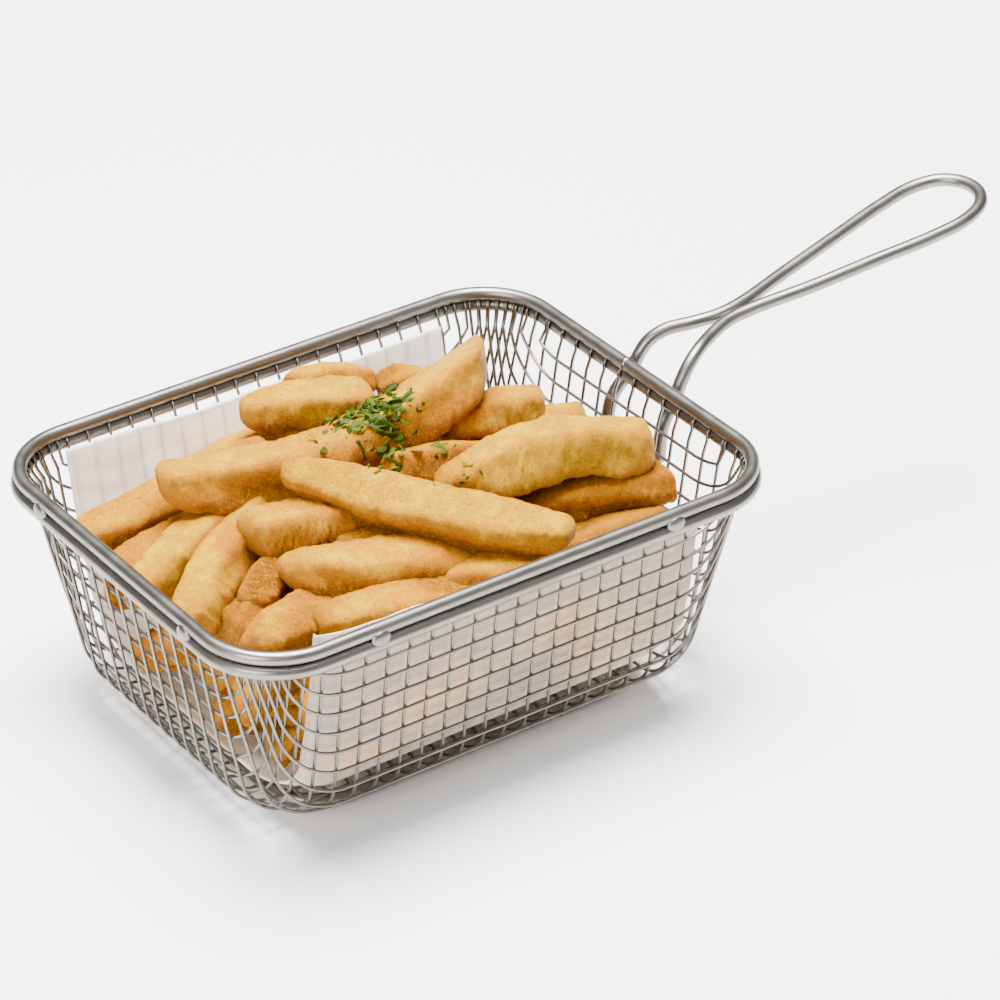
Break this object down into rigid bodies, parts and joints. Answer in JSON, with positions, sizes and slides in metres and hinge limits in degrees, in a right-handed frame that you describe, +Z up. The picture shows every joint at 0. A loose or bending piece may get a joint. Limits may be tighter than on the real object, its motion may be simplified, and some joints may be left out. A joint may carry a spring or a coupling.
{
  "type": "french fries portion in a wire serving basket",
  "caption": "Portion of french fries with parsley on a paper liner, heaped in a small rectangular wire mesh serving basket with a long wire loop handle",
  "frame": {"origin": "middle of the whole object's box in plan, on the surface the foot wire stands on", "axes": "+X along the handle and the basket's long side, +Z up; the basket is symmetric about the plane Y = 0"},
  "size_m": [0.2262, 0.1072, 0.0716],
  "materials": {
    "wire": "satin stainless steel wire",
    "mesh": "welded mesh of stainless steel wire",
    "paper": "thin uncoated greaseproof paper, slightly see-through",
    "fries": "fried potato, soft sheen, golden with browner edges, chopped parsley on top"
  },
  "bodies": {
    "root": {"top_rim_wire": "wire", "lower_rim_wire": "wire", "foot_wire": "wire", "handle_wire": "wire", "mesh_floor": "mesh", "mesh_front": "mesh", "mesh_back": "mesh", "mesh_plain_end": "mesh", "mesh_handle_end": "mesh", "mesh_corner_front_plain_end_1": "mesh", "mesh_corner_front_plain_end_2": "mesh", "mesh_corner_front_handle_end_1": "mesh", "mesh_corner_front_handle_end_2": "mesh", "mesh_corner_back_plain_end_1": "mesh", "mesh_corner_back_plain_end_2": "mesh", "mesh_corner_back_handle_end_1": "mesh", "mesh_corner_back_handle_end_2": "mesh", "paper_liner": "paper", "fries_heap": "fries"}
  },
  "joints": []
}
